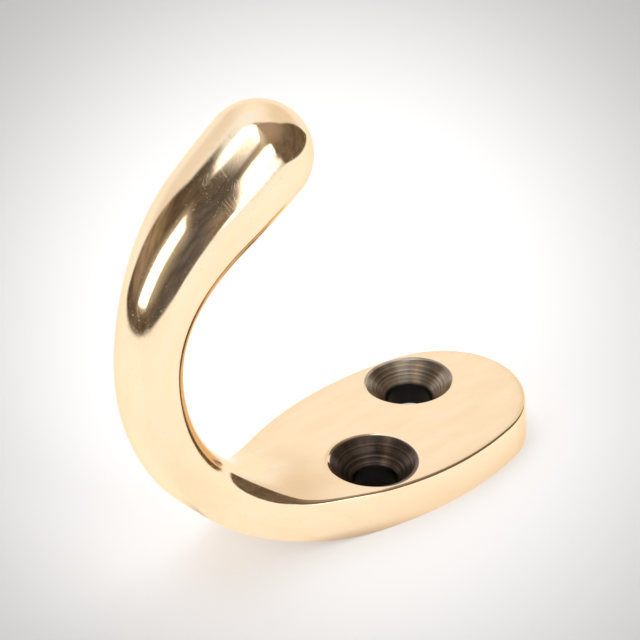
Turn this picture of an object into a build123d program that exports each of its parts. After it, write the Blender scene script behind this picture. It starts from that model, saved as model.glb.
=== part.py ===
from build123d import *
from math import atan, atan2, cos, degrees, pi, radians, sin, tan
import os

# Single robe hook, cast in one piece of bronze and polished.
# An oval backplate with a crowned face runs on into an arm of the same metal, which
# narrows, turns away from the wall, leans back over the plate and swells to a round tip.
# The back of the plate lies on Z = 0 and +Z points away from the wall.
# +Y points up the wall, from the arm to the free end of the plate.
# The origin is midway between the two screw holes. All sizes are in millimetres.

# Backplate
plate_width = 19.4  # at the middle of the holes, where it is widest
plate_top_reach = 15.1  # from the middle of the holes up to the free end
plate_side_radius = 33.8  # the sides of the oval, from the widest part to the rounded end
plate_thickness = 4.8  # on the crown, at the middle of the holes
crown_radius = 75.0  # the face is rounded across its width
face_edge = 0.45  # radius of the polished edge of the face

# Screw holes, one high on the left and one low on the right
hole_across = 8.4
hole_along = 12.4
screw_hole = 4.5
countersink = 9.0
countersink_angle = 90.0

# Back line of the hook, followed from the middle of the holes to the tip
root_run = 9.0
bend_radius = 25.0
bend_turn = 83.0
lean_radius = 21.0
lean_turn = 66.0
tip_run = 7.0

# Arm
arm_width = 6.9
arm_crown_radius = 5.1  # the face rounds up to this as the plate narrows to the arm
tip_radius = 5.35
thickening = 0.034  # growth of the thickness for each millimetre of the back line
narrowing_run = 30.5  # the plate narrows to the arm over this length of the back line
swell_run = 30.0  # the arm swells to the tip over this length
face_crisp_run = 5.0  # the edge of the face stays crisp along this length of the arm
face_softening_run = 20.5  # and then softens over this length
back_crisp_run = 17.0  # the edge of the back stays crisp along this length of the arm
back_softening_run = 12.0  # and then softens over this length

# Lengthwise seams of the round arm, as angles about its middle
back_seam = -45.0
side_seam = 20.0
face_seam = 65.0

# Fineness of the curves
section_spacing = 4.0  # sections of the arm lie about this far apart along the back line
end_section = 1.0  # one more lies this close to the plate and to the tip, so that neither has a kink
point_spacing = 2.25  # points on the narrowing sides of the plate lie about this far apart
seam_points = 9  # points on a section from one seam to the next
halvings = 50  # steps in closing in on a section's outline
nudge = 0.05  # a small step for finding the direction of a curve

# Worked out from the sizes above
half_plate = plate_width / 2
half_arm = arm_width / 2
end_radius = (2 * plate_side_radius * half_plate - half_plate**2 - plate_top_reach**2) / (
    2 * (plate_side_radius - plate_top_reach)
)
end_centre_y = plate_top_reach - end_radius
bend_run = bend_radius * radians(bend_turn)
lean_run = lean_radius * radians(lean_turn)
back_length = root_run + bend_run + lean_run + tip_run
tip_swell = 2 * tip_radius - plate_thickness - thickening * back_length


def ease(share):
    """Goes from 0 to 1 with no jolt in slope or bending at either end."""
    share = min(max(share, 0.0), 1.0)
    return share**3 * (10 - 15 * share + 6 * share**2)


def back_line(run):
    """Place and turn of the back line at a distance from the middle of the holes."""
    y = -min(run, root_run)
    z = 0.0
    turn = 0.0
    arc_start = root_run
    for arc_run, radius in ((bend_run, bend_radius), (lean_run, lean_radius)):
        arc_turn = min(max(run - arc_start, 0.0), arc_run) / radius
        y -= radius * (sin(turn + arc_turn) - sin(turn))
        z += radius * (cos(turn) - cos(turn + arc_turn))
        turn += arc_turn
        arc_start += arc_run
    tip_part = max(run - arc_start, 0.0)
    return y - tip_part * cos(turn), z + tip_part * sin(turn), turn


def section_plane(run):
    """Plane across the hook, with its x across the hook and its y towards the face."""
    y, z, turn = back_line(run)
    return Plane(origin=(0, y, z), x_dir=(1, 0, 0), z_dir=(0, -cos(turn), sin(turn)))


def swell(run):
    return ease(1 - (back_length - run) / swell_run)


def middle_depth(run):
    """Distance of the section's middle from the back line."""
    return (plate_thickness + thickening * run) / 2


def half_depth(run):
    return middle_depth(run) + tip_swell / 2 * swell(run)


def half_width(run):
    narrowing = (1 - cos(pi * min(run / narrowing_run, 1.0))) / 2
    return half_plate + (half_arm - half_plate) * narrowing + (tip_radius - half_arm) * swell(run)


def crown_bend(run):
    """Curvature of the face across the hook, which grows as the plate narrows to the arm."""
    arm_share = ease((run - root_run) / (narrowing_run - root_run))
    return (1 - arm_share) / crown_radius + arm_share / arm_crown_radius


def face_softening(run):
    return ease((run - root_run - face_crisp_run) / face_softening_run)


def back_softening(run):
    return ease((run - root_run - back_crisp_run) / back_softening_run)


def section_reach(run, angle):
    """Reach of the section's outline from its middle, where 1 is the half width or depth."""
    over = abs(cos(angle))
    up = abs(sin(angle))
    if sin(angle) < 0:
        crisp = 1 / max(over, up)
        return crisp + (1 - crisp) * back_softening(run)
    wide = half_width(run)
    deep = half_depth(run)
    wide_power = 2 * wide / (face_edge + (wide - face_edge) * face_softening(run))
    deep_power = 2 * deep / (face_edge + (deep - face_edge) * face_softening(run))
    inside = 0.0
    outside = 2.0
    for halving in range(halvings):
        reach = (inside + outside) / 2
        if (reach * over) ** wide_power + (reach * up) ** deep_power > 1:
            outside = reach
        else:
            inside = reach
    return reach


def section_point(run, angle):
    """Point of the section: the back starts crisp and the face edged, and both end round."""
    reach = section_reach(run, angle)
    across = half_width(run) * reach * cos(angle)
    rise = reach * sin(angle)
    crown_share = (1 - face_softening(run)) * max(rise, 0.0)
    crown_drop = across**2 / 2 * crown_bend(run) * crown_share
    return Vector(across, middle_depth(run) + half_depth(run) * rise - crown_drop)


def section_edge(run, start, end):
    """Smooth edge of the section between two angles, in degrees about its middle."""
    shares = [i / (seam_points - 1) for i in range(seam_points)]
    places = [section_point(run, radians(start + (end - start) * share)) for share in shares]
    after_start = section_point(run, radians(start + nudge))
    before_end = section_point(run, radians(end - nudge))
    leaving = (after_start - places[0]).normalized()
    arriving = (places[-1] - before_end).normalized()
    return Edge.make_spline(places, tangents=[leaving, arriving], parameters=shares)


def seam_angles(run):
    """Angles of the six seams about the section's middle, and the first one again."""
    softening = face_softening(run)
    plate_side_seam = degrees(atan(1 - face_edge / half_depth(root_run)))
    plate_face_seam = 90 - degrees(atan(1 - face_edge / half_width(root_run)))
    side = plate_side_seam + (side_seam - plate_side_seam) * softening
    face = plate_face_seam + (face_seam - plate_face_seam) * softening
    return [-180 - back_seam, back_seam, side, face, 180 - face, 180 - side, 180 - back_seam]


def section(run):
    """Section across the hook, with the same six edges as the cut end of the plate."""
    seams = seam_angles(run)
    edges = [section_edge(run, start, end) for start, end in zip(seams, seams[1:])]
    return section_plane(run) * make_face(edges)


def root_side(side):
    """Narrowing side of the plate, from its widest part down to the bend."""
    count = max(round(root_run / point_spacing), 2)
    runs = [root_run * i / count for i in range(count + 1)]
    places = [(side * half_width(run), -run) for run in runs]
    slope = (half_width(root_run + nudge) - half_width(root_run - nudge)) / (2 * nudge)
    return Spline(places, tangents=[(0, -1), (side * slope, -1)])


# Backplate: an oval under the crown, cut across where the arm begins to bend
side_centre = plate_side_radius - half_plate
side_turn = degrees(atan2(end_centre_y, side_centre))
right_side = CenterArc((-side_centre, 0), plate_side_radius, 0, side_turn)
free_end = CenterArc((0, end_centre_y), end_radius, side_turn, 180 - 2 * side_turn)
left_side = CenterArc((side_centre, 0), plate_side_radius, 180 - side_turn, side_turn)
right_root = root_side(1)
left_root = root_side(-1)
cut_end = Line(left_root @ 1, right_root @ 1)
oval = make_face([right_root, right_side, free_end, left_side, left_root, cut_end])
crown_lean = atan(thickening)
crown_plane = Plane(
    origin=(0, -crown_radius * sin(crown_lean), plate_thickness - crown_radius * cos(crown_lean)),
    x_dir=(0, -sin(crown_lean), -cos(crown_lean)),
    z_dir=(0, cos(crown_lean), -sin(crown_lean)),
)
crown = crown_plane * Cylinder(crown_radius, 4 * (plate_top_reach + root_run))
plate = extrude(oval, 2 * plate_thickness) & crown
face_edges = plate.faces().sort_by(Axis.Z)[-1].edges().sort_by(Axis.Y)[1:]
plate = fillet(face_edges, face_edge)

# Root, arm and swelling, through sections spaced along the back line to a round one
arm_length = back_length - root_run
section_count = round(arm_length / section_spacing)
section_runs = [root_run + arm_length * i / section_count for i in range(1, section_count)]
cut_face = plate.faces().sort_by(Axis.Y)[0]
tip_plane = section_plane(back_length) * Pos(0, middle_depth(back_length))
tip_seams = seam_angles(back_length)
tip_arcs = []
for start, end in zip(tip_seams, tip_seams[1:]):
    tip_arcs.append(CenterArc((0, 0), tip_radius, start, end - start))
sections = [cut_face, section(root_run + end_section)]
sections += [section(run) for run in section_runs]
sections += [section(back_length - end_section), tip_plane * make_face(tip_arcs)]
arm = loft(sections)
tip = tip_plane * Sphere(tip_radius, arc_size1=0, align=None)

hook = plate + arm + tip

# Countersunk screw holes, drilled straight through to the back
screw_radius = screw_hole / 2
sink_radius = countersink / 2
sink_slope = tan(radians(countersink_angle / 2))
top = 2 * plate_thickness
for x, y in ((-hole_across / 2, hole_along / 2), (hole_across / 2, -hole_along / 2)):
    face_height = plate_thickness - thickening * y - x**2 / (2 * crown_radius)
    throat_height = face_height - (sink_radius - screw_radius) / sink_slope
    top_radius = screw_radius + (top - throat_height) * sink_slope
    hole_profile = make_face(
        Polyline(
            (0, -plate_thickness),
            (screw_radius, -plate_thickness),
            (screw_radius, throat_height),
            (top_radius, top),
            (0, top),
            close=True,
        )
    )
    hook -= Pos(x, y, 0) * revolve(Plane.XZ * hole_profile, Axis.Z)

os.makedirs("parts", exist_ok=True)
export_step(hook, "parts/robe_hook.step")
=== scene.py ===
from math import atan, atan2, ceil, cos, degrees, pi, radians, sin, sqrt, tan

import bmesh
import bpy
from mathutils import Matrix, Vector
from mathutils.bvhtree import BVHTree


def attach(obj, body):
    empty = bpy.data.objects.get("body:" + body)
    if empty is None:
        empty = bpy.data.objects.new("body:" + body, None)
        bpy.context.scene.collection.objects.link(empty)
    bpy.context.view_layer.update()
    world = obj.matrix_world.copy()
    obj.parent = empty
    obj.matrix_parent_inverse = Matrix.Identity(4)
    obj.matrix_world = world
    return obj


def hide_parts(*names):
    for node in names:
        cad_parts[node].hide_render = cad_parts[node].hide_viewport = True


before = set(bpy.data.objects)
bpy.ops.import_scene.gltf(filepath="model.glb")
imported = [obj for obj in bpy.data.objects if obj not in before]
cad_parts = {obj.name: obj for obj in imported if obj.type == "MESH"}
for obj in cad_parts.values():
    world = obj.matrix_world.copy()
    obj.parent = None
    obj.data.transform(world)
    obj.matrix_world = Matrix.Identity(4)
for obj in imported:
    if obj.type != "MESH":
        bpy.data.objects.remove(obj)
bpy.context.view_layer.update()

# Sizes are in millimetres and are the frame's own; meshes become metres when they are finished
MM = 0.001

# Backplate
plate_width = 19.4
plate_top_reach = 15.1
plate_side_radius = 33.8
plate_thickness = 4.8
crown_radius = 75.0
face_edge = 0.45

# Screw holes
hole_across = 8.4
hole_along = 12.4
screw_hole = 4.5
countersink = 9.0
countersink_angle = 90.0
lip = 0.22  # the rim of a countersink is rounded this far to each side of its corner

# Back line of the hook
root_run = 9.0
bend_radius = 25.0
bend_turn = 83.0
lean_radius = 21.0
lean_turn = 66.0
tip_run = 7.0

# Arm
arm_width = 6.9
arm_crown_radius = 5.1
tip_radius = 5.35
thickening = 0.034
narrowing_run = 30.5
swell_run = 30.0
face_crisp_run = 5.0
face_softening_run = 20.5
back_crisp_run = 17.0
back_softening_run = 12.0
back_seam = -45.0
side_seam = 20.0
face_seam = 65.0

# Fineness of the mesh
ring_spacing = 0.55
back_steps = 24
side_steps = 14
edge_steps = 16
face_steps = 44
end_steps = 110
tip_steps = 28
hole_steps = 120
lip_steps = 8
halvings = 40  # steps in closing in on a section's outline
closings = 8  # steps in closing in on the rim of a countersink
near = 1e-4  # points closer than this are one point
crease_angle = 32.0  # edges that turn by more than this stay crisp

# Worked out from the sizes above
half_plate = plate_width / 2
half_arm = arm_width / 2
end_radius = (2 * plate_side_radius * half_plate - half_plate**2 - plate_top_reach**2) / (
    2 * (plate_side_radius - plate_top_reach)
)
end_centre_y = plate_top_reach - end_radius
side_centre = plate_side_radius - half_plate
bend_run = bend_radius * radians(bend_turn)
lean_run = lean_radius * radians(lean_turn)
back_length = root_run + bend_run + lean_run + tip_run
tip_swell = 2 * tip_radius - plate_thickness - thickening * back_length
screw_radius = screw_hole / 2
sink_radius = countersink / 2
sink_slope = tan(radians(countersink_angle / 2))
hole_places = ((-hole_across / 2, hole_along / 2), (hole_across / 2, -hole_along / 2))


# Form of the hook

def ease(share):
    """Goes from 0 to 1 with no jolt in slope or bending at either end."""
    share = min(max(share, 0.0), 1.0)
    return share**3 * (10 - 15 * share + 6 * share**2)


def back_line(run):
    """Place and turn of the back line at a distance from the middle of the holes."""
    y = -min(run, root_run)
    z = 0.0
    turn = 0.0
    arc_start = root_run
    for arc_run, radius in ((bend_run, bend_radius), (lean_run, lean_radius)):
        arc_turn = min(max(run - arc_start, 0.0), arc_run) / radius
        y -= radius * (sin(turn + arc_turn) - sin(turn))
        z += radius * (cos(turn) - cos(turn + arc_turn))
        turn += arc_turn
        arc_start += arc_run
    tip_part = max(run - arc_start, 0.0)
    return y - tip_part * cos(turn), z + tip_part * sin(turn), turn


def swell(run):
    return ease(1 - (back_length - run) / swell_run)


def middle_depth(run):
    """Distance of the section's middle from the back line."""
    return (plate_thickness + thickening * run) / 2


def half_depth(run):
    return middle_depth(run) + tip_swell / 2 * swell(run)


def half_width(run):
    narrowing = (1 - cos(pi * min(run / narrowing_run, 1.0))) / 2
    return half_plate + (half_arm - half_plate) * narrowing + (tip_radius - half_arm) * swell(run)


def crown_bend(run):
    """Curvature of the face across the hook, which grows as the plate narrows to the arm."""
    arm_share = ease((run - root_run) / (narrowing_run - root_run))
    return (1 - arm_share) / crown_radius + arm_share / arm_crown_radius


def face_softening(run):
    return ease((run - root_run - face_crisp_run) / face_softening_run)


def back_softening(run):
    return ease((run - root_run - back_crisp_run) / back_softening_run)


def section_reach(run, angle):
    """Reach of the section's outline from its middle, where 1 is the half width or depth."""
    over = abs(cos(angle))
    up = abs(sin(angle))
    if sin(angle) < 0:
        crisp = 1 / max(over, up)
        return crisp + (1 - crisp) * back_softening(run)
    wide = half_width(run)
    deep = half_depth(run)
    wide_power = 2 * wide / (face_edge + (wide - face_edge) * face_softening(run))
    deep_power = 2 * deep / (face_edge + (deep - face_edge) * face_softening(run))
    inside = 0.0
    outside = 2.0
    for halving in range(halvings):
        reach = (inside + outside) / 2
        if (reach * over) ** wide_power + (reach * up) ** deep_power > 1:
            outside = reach
        else:
            inside = reach
    return reach


def seam_angles(run):
    """Angles of the six seams about the section's middle, and the first one again."""
    softening = face_softening(run)
    plate_side_seam = degrees(atan(1 - face_edge / half_depth(root_run)))
    plate_face_seam = 90 - degrees(atan(1 - face_edge / half_width(root_run)))
    side = plate_side_seam + (side_seam - plate_side_seam) * softening
    face = plate_face_seam + (face_seam - plate_face_seam) * softening
    return [-180 - back_seam, back_seam, side, face, 180 - face, 180 - side, 180 - back_seam]


def section_angle(run, seam_place):
    """Angle about the section's middle for a place counted in seams round the section."""
    seams = seam_angles(run)
    seam = int(seam_place)
    start = seams[seam]
    return radians(start + (seams[seam + 1] - start) * (seam_place - seam))


def section_point(run, seam_place):
    """Distance across, height over the back line without the crown, and share of the crown."""
    angle = section_angle(run, seam_place)
    reach = section_reach(run, angle)
    across = half_width(run) * reach * cos(angle)
    rise = reach * sin(angle)
    crown_share = (1 - face_softening(run)) * max(rise, 0.0)
    return across, middle_depth(run) + half_depth(run) * rise, crown_share


def crown_drop(across, run=0.0):
    return across**2 / 2 * crown_bend(run)


def section_place(run, seam_place):
    """Place of a point of the section as if the hook were straight: along, across and deep."""
    across, depth, crown_share = section_point(run, seam_place)
    return Vector((run, across, depth - crown_share * crown_drop(across, run)))


def tip_place(polar, seam_place):
    """The same for the round tip, where polar goes from 0 at its base to 90 degrees."""
    angle = section_angle(back_length, seam_place)
    girth = tip_radius * cos(polar)
    ahead = tip_radius * sin(polar)
    return Vector((back_length + ahead, girth * cos(angle), middle_depth(back_length) + girth * sin(angle)))


def curled(straight):
    """Place in the frame of a place on the straight hook."""
    run, across, depth = straight
    y, z, turn = back_line(run)
    return Vector((across, y + depth * sin(turn), z + depth * cos(turn)))


def oval_reach(heading):
    """Distance from the middle of the widest part to the edge of the oval end."""
    join = atan2(end_centre_y, side_centre)
    join_heading = atan2(plate_side_radius * sin(join), plate_side_radius * cos(join) - side_centre)
    over = abs(cos(heading))
    up = sin(heading)
    if atan2(up, over) < join_heading:
        return sqrt(plate_side_radius**2 - (side_centre * up) ** 2) - side_centre * over
    return end_centre_y * up + sqrt(end_radius**2 - (end_centre_y * over) ** 2)


def oval_place(heading, seam_place):
    """Place of a point of the oval end, which the widest section is swept round."""
    across, depth, crown_share = section_point(0, seam_place)
    inset = half_plate - abs(across)
    edge = oval_reach(heading)
    reach = edge - inset - (edge - half_plate) * (inset / half_plate) ** 2
    x = reach * cos(heading)
    y = reach * sin(heading)
    thickness_share = 1 - thickening * y / plate_thickness
    return Vector((x, y, depth * thickness_share - crown_share * crown_drop(x)))


def flat_straight(place):
    """Place on the straight hook of a place on the plate, which doesn't curl."""
    return Vector((-place.y, place.x, place.z))


def rim_edges(geom):
    return [e for e in geom if isinstance(e, bmesh.types.BMEdge) and e.is_boundary]


def rim_verts(rim):
    return {v for e in rim for v in e.verts}


def hook_body():
    """Body of the hook without its holes, swept from one ring round the widest part."""
    bm = bmesh.new()
    seam_layer = bm.verts.layers.float.new("seam_place")
    straight_layer = bm.verts.layers.float_vector.new("straightened")
    steps = (back_steps, side_steps, edge_steps, face_steps, edge_steps, side_steps)
    places = [seam + step / count for seam, count in enumerate(steps) for step in range(count)]
    ring = bmesh.ops.create_circle(bm, segments=len(places), radius=half_plate)["verts"]
    for v, place in zip(ring, places):
        v[seam_layer] = place
        v.co = curled(section_place(0, place))

    # The right half of the ring is spun over the oval end, onto the left half
    right = [v for v in ring if v.co.x > -near]
    right_edges = [e for e in bm.edges if all(v in right for v in e.verts)]
    bmesh.ops.spin(
        bm,
        geom=right + right_edges,
        cent=(0, 0, 0),
        axis=(0, 0, 1),
        angle=pi,
        steps=end_steps,
    )
    bmesh.ops.remove_doubles(bm, verts=bm.verts, dist=near)
    seams = len(steps)
    back_middle = 0.5
    face_middle = 3.5
    for v in bm.verts:
        if v.co.y > near:
            v.co = oval_place(atan2(v.co.y, v.co.x), v[seam_layer])
        elif v.co.x < -near and back_middle < v[seam_layer] < face_middle:
            v[seam_layer] = (2 * face_middle - v[seam_layer]) % seams
        v[straight_layer] = flat_straight(v.co)

    # The open rim is carried on along the arm and over the tip
    rim = rim_edges(bm.edges)
    rings = ceil(back_length / ring_spacing)
    for i in range(1, rings + tip_steps + 1):
        rim = rim_edges(bmesh.ops.extrude_edge_only(bm, edges=rim)["geom"])
        for v in rim_verts(rim):
            if i <= rings:
                straight = section_place(back_length * i / rings, v[seam_layer])
            else:
                straight = tip_place(pi / 2 * (i - rings) / tip_steps, v[seam_layer])
            v[straight_layer] = straight
            v.co = curled(straight)
    bmesh.ops.remove_doubles(bm, verts=bm.verts, dist=near)
    bmesh.ops.recalc_face_normals(bm, faces=bm.faces)
    return bm


def hole_cutter(x, y, skin):
    """Tool for one hole: throat, countersink, and a lip that follows the face of the plate."""
    centre_height = plate_thickness - thickening * y - crown_drop(x)
    throat_height = centre_height - (sink_radius - screw_radius) / sink_slope
    high = 3 * plate_thickness

    def face_height(radius, heading):
        above = Vector((x + radius * cos(heading), y + radius * sin(heading), high))
        return skin.ray_cast(above, Vector((0, 0, -1)))[0].z

    def lip_point(share, heading):
        """Radius and height on the rounded lip, from its inner end to its outer end."""
        corner = sink_radius
        for closing in range(closings):
            corner = screw_radius + (face_height(corner, heading) - throat_height) * sink_slope
        outer = Vector((corner + lip, face_height(corner + lip, heading)))
        middle = Vector((corner, face_height(corner, heading)))
        inner_radius = corner - lip * sin(atan(sink_slope))
        inner = Vector((inner_radius, throat_height + (inner_radius - screw_radius) / sink_slope))
        return (1 - share) ** 2 * inner + 2 * share * (1 - share) * middle + share**2 * outer

    def profile_point(step, heading):
        """Radius and height at one step of the profile: throat, lip, and clear of the face."""
        if step == 0:
            return Vector((screw_radius, throat_height))
        if step <= lip_steps + 1:
            return lip_point((step - 1) / lip_steps, heading)
        return Vector((lip_point(1, heading).x, high))

    bm = bmesh.new()
    straight_layer = bm.verts.layers.float_vector.new("straightened")
    ring = bmesh.ops.create_circle(bm, cap_ends=True, segments=hole_steps, radius=screw_radius)["verts"]
    bmesh.ops.translate(bm, verts=ring, vec=(x, y, -plate_thickness))
    rim = rim_edges(bm.edges)
    for step in range(lip_steps + 3):
        rim = rim_edges(bmesh.ops.extrude_edge_only(bm, edges=rim)["geom"])
        for v in rim_verts(rim):
            heading = atan2(v.co.y - y, v.co.x - x)
            radius, height = profile_point(step, heading)
            v.co = Vector((x + radius * cos(heading), y + radius * sin(heading), height))
    bmesh.ops.holes_fill(bm, edges=rim)
    bmesh.ops.recalc_face_normals(bm, faces=bm.faces)
    for v in bm.verts:
        v[straight_layer] = flat_straight(v.co)
    return bm


def mesh_object(name, bm):
    """Object of a finished bmesh, with its millimetres made metres."""
    bmesh.ops.scale(bm, vec=(MM, MM, MM), verts=bm.verts)
    mesh = bpy.data.meshes.new(name)
    bm.to_mesh(mesh)
    bm.free()
    made = bpy.data.objects.new(name, mesh)
    bpy.context.collection.objects.link(made)
    return made


def make_hook():
    """The whole hook, drilled and shaded smooth apart from its crisp edges."""
    bm = hook_body()
    skin = BVHTree.FromBMesh(bm)
    cutters = [mesh_object("hole_cutter", hole_cutter(x, y, skin)) for x, y in hole_places]
    hook = mesh_object("polished_hook", bm)
    for cutter in cutters:
        drill = hook.modifiers.new("hole", "BOOLEAN")
        drill.operation = "DIFFERENCE"
        drill.solver = "EXACT"
        drill.object = cutter
    finished = hook.evaluated_get(bpy.context.evaluated_depsgraph_get())
    drilled = bpy.data.meshes.new_from_object(finished)
    hook.modifiers.clear()
    hook.data = drilled
    for cutter in cutters:
        bpy.data.objects.remove(cutter)
    drilled.shade_smooth()
    drilled.set_sharp_from_angle(angle=radians(crease_angle))
    return hook


# Shader sums

# Places of a Mix node's colour sockets, since its kinds of value share their names
mix_first = 6
mix_second = 7
mix_result = 2


class Shade:
    """A socket of a node tree, with the sums that are done on it."""

    def __init__(self, tree, socket=None):
        self.tree = tree
        self.socket = socket

    def node(self, kind, settings, sockets, output=0):
        """Adds a node: its settings first, then the values or links of its sockets."""
        made = self.tree.nodes.new(kind)
        for name, value in settings.items():
            setattr(made, name, value)
        for name, value in sockets.items():
            if isinstance(value, Shade):
                self.tree.links.new(value.socket, made.inputs[name])
            else:
                made.inputs[name].default_value = value
        return Shade(self.tree, made.outputs[output] if made.outputs else None)

    def sum(self, operation, *values):
        return self.node("ShaderNodeMath", {"operation": operation}, dict(enumerate(values)))

    def __add__(self, other):
        return self.sum("ADD", self, other)

    __radd__ = __add__

    def __sub__(self, other):
        return self.sum("SUBTRACT", self, other)

    def __rsub__(self, other):
        return self.sum("SUBTRACT", other, self)

    def __mul__(self, other):
        return self.sum("MULTIPLY", self, other)

    __rmul__ = __mul__

    def __pow__(self, other):
        return self.sum("POWER", self, other)

    def __abs__(self):
        return self.sum("ABSOLUTE", self)

    def larger(self, other):
        return self.sum("MAXIMUM", self, other)

    def ramp(self, low, high):
        """Goes smoothly from 0 at the low value to 1 at the high one, or the other way round."""
        sockets = {"Value": self, "From Min": low, "From Max": high}
        return self.node("ShaderNodeMapRange", {"interpolation_type": "SMOOTHSTEP"}, sockets)

    def step(self, softness):
        """Goes from 0 to 1 as this value passes nought, by the softness to each side of it."""
        return self.ramp(-softness, softness)

    def along(self, direction):
        """How far a vector reaches along a fixed direction."""
        sockets = {0: self, 1: direction}
        return self.node("ShaderNodeVectorMath", {"operation": "DOT_PRODUCT"}, sockets, "Value")

    def stretch(self, scale):
        return self.node("ShaderNodeVectorMath", {"operation": "MULTIPLY"}, {0: self, 1: scale})

    def noise(self, detail, scale=1.0):
        return self.node("ShaderNodeTexNoise", {}, {"Vector": self, "Scale": scale, "Detail": detail})

    def mix(self, first, second):
        """Colour that goes from the first to the second as this value goes from 0 to 1."""
        sockets = {0: self, mix_first: first, mix_second: second}
        return self.node("ShaderNodeMix", {"data_type": "RGBA"}, sockets, mix_result)


def new_tree(owner):
    owner.use_nodes = True
    owner.node_tree.nodes.clear()
    return Shade(owner.node_tree)


def millimetres(tree):
    """Place on the object in millimetres."""
    return tree.node("ShaderNodeTexCoord", {}, {}, "Object").stretch((1 / MM, 1 / MM, 1 / MM))


def colour(red, green, blue):
    return (red, green, blue, 1.0)


black = colour(0, 0, 0)
white = colour(1, 1, 1)
x_axis = (1, 0, 0)
y_axis = (0, 1, 0)
z_axis = (0, 0, 1)

# Colours of the bronze
polish_deep = colour(0.956, 0.745, 0.495)
polish_pale = colour(0.98, 0.785, 0.545)
polish_grazing = colour(0.97, 0.86, 0.72)
pit_brown = colour(0.5, 0.36, 0.22)
lower_sink_stained = colour(0.06, 0.042, 0.035)
lower_sink_bare = colour(0.2, 0.165, 0.145)
upper_sink_stained = colour(0.27, 0.225, 0.185)
upper_sink_bare = colour(0.72, 0.62, 0.51)
# painted shade: dark metal made near black down the throat of each hole, where light hardly reaches
throat_painted_shade = colour(0.03, 0.027, 0.024)

# Grain of the marks, per millimetre: along the hook, across it and deep, or the same each way
streak_grain = (0.12, 3.0, 3.0)
line_grain = (0.6, 9.0, 9.0)
scratch_grain = (0.08, 3.0, 0.3)
bloom_grain = (0.14, 0.42, 0.42)
grinding_grain = (0.25, 7.0, 7.0)
wave_grain = 0.3
pit_grain = 5.5
stain_grain = 0.45
ring_grain = 7.0
scratch_sets = ((25, 0.5625), (-38, 0.405), (70, 0.675))  # slant in degrees, grain of its patches

# Bands of the noise in which a mark starts and is full
bloom_band = (0.3, 0.7)
pit_band = (0.67, 0.79)
patch_band = (0.5, 0.62)
stain_band = (0.38, 0.62)
noise_middle = 0.5  # a scratch lies where the noise passes this
scratch_width = 0.012

# Shares
stain_share = 0.4  # of stains in the dark of a countersink, where the rings have the rest
pit_stain = 0.4  # of brown in a pit

# Heights of the marks
streak_height = 0.0024
line_height = 0.0007
wave_height = 0.005
pit_depth = 0.0055
scratch_depth = 0.0006
ring_height = 0.012
grinding_height = 0.01

# Roughness of each finish, and what the marks add to it
polish_roughness = 0.06
streak_roughness = 0.045
pit_roughness = 0.2
sink_roughness = 0.22
ring_roughness = 0.16
grinding_roughness = 0.2

# Where the finishes meet
sink_fade = (0.02, 0.16)  # in from the rim of a countersink
arm_fade = (2.0, 1.0)  # above the plate, where the tip hangs over the holes
sinks_apart = 1.0  # to each side of the middle, between the upper and the lower countersink
throat_fade = (0.1, -0.3)  # up from the top of the throat
back_fade = (0.05, 0.02)  # up from the flat back


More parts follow.
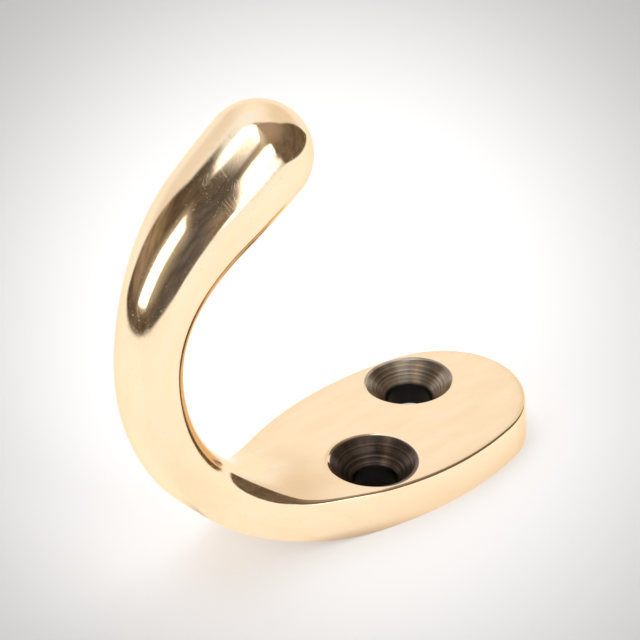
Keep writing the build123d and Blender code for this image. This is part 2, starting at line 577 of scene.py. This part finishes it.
def polished_bronze():
    """Bright polished bronze with polishing marks, dull in the countersinks and on the back."""
    material = bpy.data.materials.new("polished_bronze")
    tree = new_tree(material)
    place = millimetres(tree)
    straight = tree.node("ShaderNodeAttribute", {"attribute_name": "straightened"}, {}, "Vector")
    x = place.along(x_axis)
    y = place.along(y_axis)
    z = place.along(z_axis)

    # Countersinks, left dark and turned, with fine uneven rings round each hole; the upper one is lighter,
    # so its highlight is brighter
    on_plate = z.ramp(*(plate_thickness + rise for rise in arm_fade))
    upper = y.step(sinks_apart)
    dull = 0.0
    turning = 0.0
    for hole_x, hole_y in hole_places:
        radius = ((x - hole_x) ** 2 + (y - hole_y) ** 2) ** 0.5
        inside = radius.ramp(*(sink_radius - inset for inset in sink_fade)) * on_plate
        ring_place = tree.node("ShaderNodeCombineXYZ", {}, {"X": radius * ring_grain, "Y": hole_y})
        rings = ring_place.noise(detail=3)
        dull = inside + dull
        turning = inside * rings + turning
    bright = 1 - dull
    stain = place.noise(detail=4, scale=stain_grain)
    stained = upper.mix(lower_sink_stained, upper_sink_stained)
    bare = upper.mix(lower_sink_bare, upper_sink_bare)
    cleaned = (stain * stain_share + turning * (1 - stain_share)).ramp(*stain_band)
    # The throat of each hole is painted near black as painted shade, over its dark metal
    throat_top = plate_thickness - (sink_radius - screw_radius) / sink_slope
    throat = z.ramp(*(throat_top + rise for rise in throat_fade))
    dark_metal = throat.mix(cleaned.mix(stained, bare), throat_painted_shade)

    # Polished metal: long streaks, fine lines, short scratches, pits and a slow waviness
    streaks = straight.stretch(streak_grain).noise(detail=3)
    lines = straight.stretch(line_grain).noise(detail=2)
    waves = place.noise(detail=1, scale=wave_grain)
    pits = place.noise(detail=2, scale=pit_grain).ramp(*pit_band)
    scratches = 0.0
    for slant, patch_grain in scratch_sets:
        turned = {"Vector": straight, "Axis": z_axis, "Angle": radians(slant)}
        hatching = tree.node("ShaderNodeVectorRotate", {}, turned).stretch(scratch_grain).noise(detail=1)
        thin = abs(hatching - noise_middle).ramp(scratch_width, 0.0)
        patches = straight.noise(detail=1, scale=patch_grain).ramp(*patch_band)
        scratches = thin * patches + scratches
    bloom = straight.stretch(bloom_grain).noise(detail=3).ramp(*bloom_band)
    polish = (pits * pit_stain).mix(bloom.mix(polish_deep, polish_pale), pit_brown)

    # The flat back is only ground
    back = z.ramp(*back_fade)
    grinding = straight.stretch(grinding_grain).noise(detail=3)

    polish_rough = polish_roughness + streaks * streak_roughness + pits * pit_roughness
    sink_rough = sink_roughness + turning * ring_roughness
    marks = streaks * streak_height + lines * line_height + waves * wave_height
    marks = marks - pits * pit_depth - scratches * scratch_depth
    height = marks * bright + turning * ring_height + grinding * back * grinding_height
    shader = tree.node(
        "ShaderNodeBsdfPrincipled",
        {},
        {
            "Base Color": dull.mix(polish, dark_metal),
            "Metallic": 1.0,
            "Roughness": polish_rough * bright + sink_rough * dull + back * grinding_roughness,
            "Specular Tint": polish_grazing,
            "Normal": tree.node("ShaderNodeBump", {}, {"Strength": 1.0, "Distance": MM, "Height": height}),
        },
    )
    tree.node("ShaderNodeOutputMaterial", {}, {"Surface": shader})
    return material


hook = make_hook()
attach(hook, "root")
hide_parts("robe_hook")
hook.data.materials.clear()
hook.data.materials.append(polished_bronze())

# Camera, at the photograph's viewing angle
view_azimuth = 49.005
view_elevation = 33.706
view_roll = -2.243
view_distance = 620.0
view_left = 7.267
view_up = 13.741
lens_length = 348.75
nearest_seen = 50.0
furthest_seen = 10000.0

azimuth = radians(view_azimuth)
elevation = radians(view_elevation)
roll = radians(view_roll)
to_camera = Vector((sin(azimuth) * cos(elevation), -cos(azimuth) * cos(elevation), sin(elevation)))
level_right = Vector((cos(azimuth), sin(azimuth), 0))
level_up = to_camera.cross(level_right)
right = level_right * cos(roll) + level_up * sin(roll)
up = level_up * cos(roll) - level_right * sin(roll)
camera_data = bpy.data.cameras.new("camera")
camera = bpy.data.objects.new("camera", camera_data)
bpy.context.collection.objects.link(camera)
camera_place = (view_distance * to_camera - view_left * right + view_up * up) * MM
camera_turn = Matrix((right, up, to_camera)).transposed().to_4x4()
camera.matrix_world = Matrix.Translation(camera_place) @ camera_turn
camera_data.lens = lens_length
camera_data.clip_start = nearest_seen * MM
camera_data.clip_end = furthest_seen * MM
bpy.context.scene.camera = camera

# Floor, a pale table with a painted pool of light at the hook
floor_radius = 170.0
floor_steps = 96
floor_gap = 0.05  # keeps the floor clear of the flat back
floor_white = colour(0.97, 0.98, 1.0)
floor_glow = 0.43
pool_inner = 12.0  # the floor darkens from here, measured from the middle of the picture
pool_outer = 55.0
pool_edge_level = 0.475
# painted shade: an oval under the hook where the floor's glow is left out of what the metal mirrors
shade_across = 8.0  # half sizes of the oval under the hook that shows no glow in the metal
shade_along = 18.0
shade_shift = 8.0  # how far its middle lies from the holes' middle, towards the arm
shade_fade = (0.95, 1.3)


def pale_floor():
    """White floor with a painted pool of light, which the camera sees darken gently away from the middle of
    the picture.
    """
    material = bpy.data.materials.new("pale_floor")
    tree = new_tree(material)
    place = millimetres(tree)
    over = place.along(right) + view_left
    rise = place.along(up) - view_up
    away = (over**2 + rise**2) ** 0.5
    seen = tree.node("ShaderNodeLightPath", {}, {}, "Is Camera Ray")
    mirrored = tree.node("ShaderNodeLightPath", {}, {}, "Is Glossy Ray")
    # painted pool of light: the floor's colour and glow fall off away from the middle, for camera rays only
    painted_pool = 1 - away.ramp(pool_inner, pool_outer) * seen * (1 - pool_edge_level)
    # painted shade under the hook, which the metal mirrors as darker floor
    shaded_x = place.along((1 / shade_across, 0, 0))
    shaded_y = place.along((0, 1 / shade_along, 0)) + shade_shift / shade_along
    unshaded = ((shaded_x**2 + shaded_y**2) ** 0.5).ramp(*shade_fade)
    glow = painted_pool * (seen + mirrored * unshaded)
    shader = tree.node(
        "ShaderNodeBsdfPrincipled",
        {},
        {
            "Base Color": painted_pool.mix(black, floor_white),
            "Roughness": 1.0,
            "Specular IOR Level": 0.0,
            "Emission Color": glow.mix(black, white),
            "Emission Strength": floor_glow,
        },
    )
    tree.node("ShaderNodeOutputMaterial", {}, {"Surface": shader})
    return material


def make_floor():
    bm = bmesh.new()
    bmesh.ops.create_circle(bm, cap_ends=True, segments=floor_steps, radius=floor_radius)
    bmesh.ops.translate(bm, verts=bm.verts, vec=(0, 0, -floor_gap))
    floor = mesh_object("floor", bm)
    floor.data.materials.append(pale_floor())


make_floor()

# Studio: a white tent with two dark openings, a tall softbox and bright panels overhead
# Its edges are planes through the hook, each given by the direction that it faces
# A fade is where an edge starts and is full, measured along that direction
# Heights go from 0 at the table to 1 straight above
# Bearings are in degrees, with 0 towards -Y, where the arm points, and 90 towards +X

quarter_turn = 90

# Walls of the tent
wall_light = colour(1.04, 1.02, 1.01)
back_wall = (0.3, 0.95, 0.0)
back_wall_fade = (0.35, 0.65)
back_wall_light = colour(0.88, 0.81, 0.73)
side_wall = (-0.94, -0.34, 0.0)
side_wall_fade = (0.5, 0.85)
side_wall_light = colour(0.89, 0.84, 0.8)
low_wall_height = (0.32, 0.02)
low_wall_light = colour(1.04, 1.06, 1.12)
skylight_side = (-0.6, -0.8, 0.0)
skylight_fade = (-0.3, 0.1)
skylight_height = (0.6, 0.95)
skylight = colour(1.0, 1.08, 1.2)
table_height = (0.02, -0.06)
table_light = colour(1.1, 1.1, 1.12)
backdrop_grey = colour(0.46, 0.46, 0.46)
crisp = 0.03  # softness of most edges

# Dark rooms behind the openings, each with the dark and the light of its clutter
clutter_grain = (4.0, 4.0, 9.0)
clutter_band = (0.35, 0.65)
front_brown = (colour(0.09, 0.068, 0.049), colour(0.15, 0.115, 0.085))
front_grey = (colour(0.095, 0.085, 0.083), colour(0.16, 0.142, 0.138))
front_wood = (colour(0.24, 0.18, 0.125), colour(0.37, 0.29, 0.22))
side_brown = (colour(0.125, 0.095, 0.07), colour(0.19, 0.145, 0.108))
side_top_height = (0.5, 0.95)
side_top_brown = colour(0.4, 0.32, 0.26)

# Front opening
roof_edge = (0.075, -0.918, -0.388)
left_roof_edge = (-0.133, -0.901, -0.413)
left_roof_lift = 0.014
roof_softness = 0.012
fray_bearings = ((-10, 15), (76, 66))
fray_above = 0.088
fray_below = 0.008
roof_shadow_fade = (0.16, 0.03)
roof_shadow_share = 0.5
roof_shadow = colour(0.09, 0.07, 0.05)
front_wall = (0.358, -0.934, 0.0)
front_wall_fade = (0.0, 0.1)
front_corner = (-0.162, -0.629, 0.76)
front_foot_height = (-0.2, -0.16)
grey_bearings = (10, 45)
wood_fade = (0.75, 0.4)
wood_top_height = (0.62, 0.45)
wood_foot_softness = 0.06

# Softbox: the direction of each edge, the fade of the lamp there and the fade of its glow
softbox_edges = (
    ((0.877, -0.349, -0.332), (-0.03, 0.03), (-0.26, 0.02)),
    ((-0.905, -0.0767, 0.418), (-0.005, 0.075), (-0.42, 0.02)),
    ((-0.41, -0.683, -0.604), (-0.03, 0.03), (-0.16, 0.02)),
    (z_axis, (0.0, 0.03), (-0.08, 0.1)),
)
softbox_light = colour(2.4, 2.4, 2.4)
softbox_glow = colour(0.56, 0.5, 0.42)
softbox_glow_share = 0.8

# Side opening, whose low edge and foot slope with the bearing
side_frame = ((0.964, 0.058, -0.261), (0.943, -0.322, 0.086), (0.765, -0.623, 0.167))
side_start_bearings = (88, 94)
side_edge_bearing = 105
side_edge_slope = 0.0275
side_edge_softness = 0.04
side_foot_bearing = 120
side_foot_slope = 0.0018
side_foot_height = (-0.07, -0.03)
side_high_height = (0.68, 0.76)
side_high_fade = (0.06, -0.04)
gap_fade = (-0.3, -0.03)  # the high part grows lighter towards the overhead panel
gap_light = colour(0.72, 0.65, 0.58)

# Bright panels of the roof
panel_light = colour(2.3, 2.3, 2.3)
near_edge = (-0.5, -0.866, 0.0)  # of the overhead panel, where the high part of the side opening ends
overhead_edge = (0.785, -0.615, 0.075)
overhead_softness = 0.05
overhead_near_fade = (-0.03, 0.04)
overhead_height = (0.6, 0.8)
between_edge = (0.643, 0.766, 0.0)
between_softness = 0.17
between_roof_fade = (-0.34, -0.15)
between_foot_height = (0.05, 0.15)
between_top_height = (0.77, 0.69)


def studio_world():
    """Light of the studio, painted on a world that the hook mirrors."""
    world = bpy.data.worlds.new("studio")
    bpy.context.scene.world = world
    tree = new_tree(world)
    heading = tree.node("ShaderNodeTexCoord", {}, {}, "Generated")
    height = heading.along(z_axis)
    bearing = tree.sum("ARCTAN2", heading.along(y_axis), heading.along(x_axis))
    bearing = bearing * degrees(1) + quarter_turn
    clutter = heading.stretch(clutter_grain).noise(detail=4).ramp(*clutter_band)

    # Walls of the tent, warm at the back and the far side, bluish near the table and the roof
    walls = heading.along(back_wall).ramp(*back_wall_fade).mix(wall_light, back_wall_light)
    walls = heading.along(side_wall).ramp(*side_wall_fade).mix(walls, side_wall_light)
    walls = height.ramp(*low_wall_height).mix(walls, low_wall_light)
    skylit = height.ramp(*skylight_height) * heading.along(skylight_side).ramp(*skylight_fade)
    walls = skylit.mix(walls, skylight)
    walls = height.ramp(*table_height).mix(walls, table_light)

    # Front opening, a dark room seen under the edge of the roof
    under_roof = heading.along(roof_edge).larger(heading.along(left_roof_edge) + left_roof_lift)
    past_wall = heading.along(front_wall)
    frayed = 1.0
    for start, full in fray_bearings:
        frayed = bearing.ramp(start, full) * frayed
    front = under_roof.ramp(-roof_softness - frayed * fray_above, roof_softness + frayed * fray_below)
    front = front * past_wall.ramp(*front_wall_fade) * heading.along(front_corner).step(crisp)
    front = front * height.ramp(*front_foot_height)
    wooden = past_wall.ramp(*wood_fade) * height.ramp(*wood_top_height) * height.step(wood_foot_softness)
    front_room = bearing.ramp(*grey_bearings).mix(clutter.mix(*front_brown), clutter.mix(*front_grey))
    front_room = wooden.mix(front_room, clutter.mix(*front_wood))
    front_room = (under_roof.ramp(*roof_shadow_fade) * roof_shadow_share).mix(front_room, roof_shadow)

    # Tall softbox in the front opening, with a glow round it
    softbox = 1.0
    glow = 1.0
    for edge, lamp_fade, glow_fade in softbox_edges:
        past_edge = heading.along(edge)
        softbox = past_edge.ramp(*lamp_fade) * softbox
        glow = past_edge.ramp(*glow_fade) * glow
    front_room = (glow * softbox_glow_share).mix(front_room, softbox_glow)

    # Side opening, another dark room, lighter towards the roof
    past_frame = heading.along(side_frame[0])
    for edge in side_frame[1:]:
        past_frame = past_frame.larger(heading.along(edge))
    side = past_frame.step(crisp)
    side_low = side * bearing.ramp(*side_start_bearings)
    side_low = side_low * (height + (bearing - side_edge_bearing) * side_edge_slope).step(side_edge_softness)
    side_low = side_low * (height + (bearing - side_foot_bearing) * side_foot_slope).ramp(*side_foot_height)
    side_room = height.ramp(*side_top_height).mix(clutter.mix(*side_brown), side_top_brown)
    past_panel = heading.along(near_edge)
    side_high = side * height.ramp(*side_high_height) * past_panel.ramp(*side_high_fade)
    gap_room = past_panel.ramp(*gap_fade).mix(side_room, gap_light)

    # Bright panels of the roof, one over the middle and one between the openings
    overhead = heading.along(overhead_edge).step(overhead_softness)
    overhead = overhead * past_panel.ramp(*overhead_near_fade) * height.ramp(*overhead_height)
    between = heading.along(between_edge).step(between_softness) * under_roof.ramp(*between_roof_fade)
    between = between * height.ramp(*between_foot_height) * height.ramp(*between_top_height)

    # The tent from the walls inwards; the camera itself sees a plain grey
    tent = between.mix(walls, panel_light)
    tent = side_high.mix(tent, gap_room)
    tent = side_low.mix(tent, side_room)
    tent = overhead.mix(tent, panel_light)
    tent = front.mix(tent, front_room)
    tent = (front * softbox).mix(tent, softbox_light)
    tent = tree.node("ShaderNodeLightPath", {}, {}, "Is Camera Ray").mix(tent, backdrop_grey)
    shader = tree.node("ShaderNodeBackground", {}, {"Color": tent, "Strength": 1.0})
    tree.node("ShaderNodeOutputWorld", {}, {"Surface": shader})


studio_world()
bpy.context.scene.view_settings.view_transform = "Standard"
